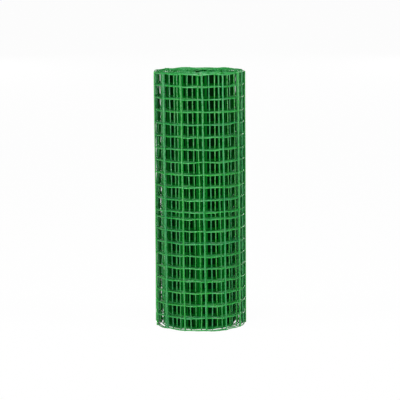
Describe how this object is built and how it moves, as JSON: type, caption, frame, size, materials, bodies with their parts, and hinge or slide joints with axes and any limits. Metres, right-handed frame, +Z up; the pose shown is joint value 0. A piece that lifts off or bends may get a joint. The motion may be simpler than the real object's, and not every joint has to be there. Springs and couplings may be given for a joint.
{
  "type": "wire fencing roll",
  "caption": "Roll of green plastic-coated welded wire mesh fencing, wound round an open bore and standing on its end.",
  "frame": {"origin": "middle of the roll's foot, on the floor", "axes": "+Z up along the bore, the side seen in the picture towards -Y, the fence's free end at the back left"},
  "size_m": [0.374, 0.3738, 1.035],
  "materials": {
    "coated_wire": "smooth green plastic coat over galvanised steel wire, half gloss"
  },
  "bodies": {
    "root": {"fence_roll": "coated_wire"}
  },
  "joints": []
}
